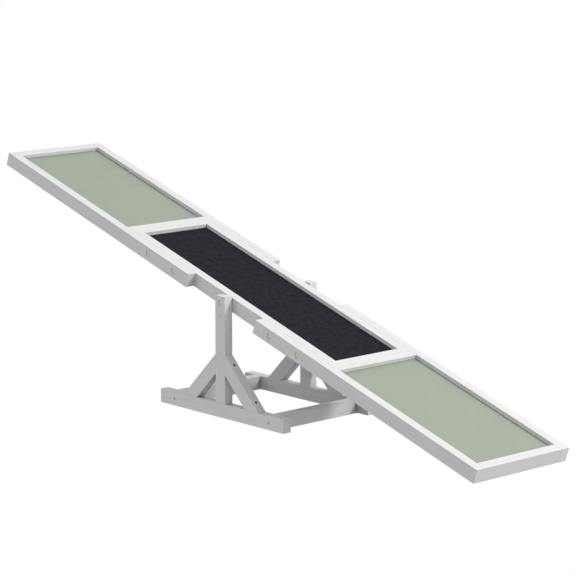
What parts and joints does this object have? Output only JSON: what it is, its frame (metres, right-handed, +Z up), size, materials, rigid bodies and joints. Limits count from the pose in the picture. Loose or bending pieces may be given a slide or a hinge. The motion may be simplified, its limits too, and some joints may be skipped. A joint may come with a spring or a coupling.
{
  "type": "dog agility seesaw",
  "caption": "Timber seesaw for dog agility: a sectional plank with green boards and a black grip mat tips on a low stand with braced posts.",
  "frame": {"origin": "on the floor under the pivot, in the middle of the stand's length and width", "axes": "+X along the plank towards the end that is down, +Y across the plank, +Z up"},
  "size_m": [1.7286, 0.3056, 0.57],
  "materials": {
    "white_timber": "white painted softwood, satin",
    "green_board": "sage green painted board with a fine grip texture, matt",
    "grip_mat": "black grit mat, matt",
    "yellow_zinc": "yellow zinc plated steel, satin",
    "zinc": "zinc plated steel"
  },
  "bodies": {
    "stand": {"foot_rail_front": "white_timber", "foot_rail_back": "white_timber", "cross_rail_left": "white_timber", "cross_rail_right": "white_timber", "post_front": "white_timber", "post_back": "white_timber", "brace_front_left": "white_timber", "brace_front_right": "white_timber", "brace_back_left": "white_timber", "brace_back_right": "white_timber", "foot_screws": "yellow_zinc", "post_screws": "yellow_zinc", "brace_screws": "yellow_zinc"},
    "plank": {"left_rail_front": "white_timber", "left_rail_back": "white_timber", "right_rail_front": "white_timber", "right_rail_back": "white_timber", "left_end_rail": "white_timber", "right_end_rail": "white_timber", "left_crossbar": "white_timber", "right_crossbar": "white_timber", "left_slat": "white_timber", "right_slat": "white_timber", "left_board": "green_board", "right_board": "green_board", "middle_rail_front": "white_timber", "middle_rail_back": "white_timber", "middle_slat_left": "white_timber", "middle_slat_right": "white_timber", "middle_board": "white_timber", "middle_mat": "grip_mat", "section_bolts": "yellow_zinc", "section_inserts": "yellow_zinc", "rail_screws": "yellow_zinc", "slat_screws": "yellow_zinc", "pivot_bolts": "yellow_zinc", "pivot_inserts": "yellow_zinc", "pivot_washers": "zinc"}
  },
  "joints": [
    {"name": "plank_tilt", "type": "hinge", "parent": "stand", "child": "plank", "pos_m": [0, 0, 0.285], "axis": [0, -1, 0], "range_deg": [0, 34.6]}
  ]
}
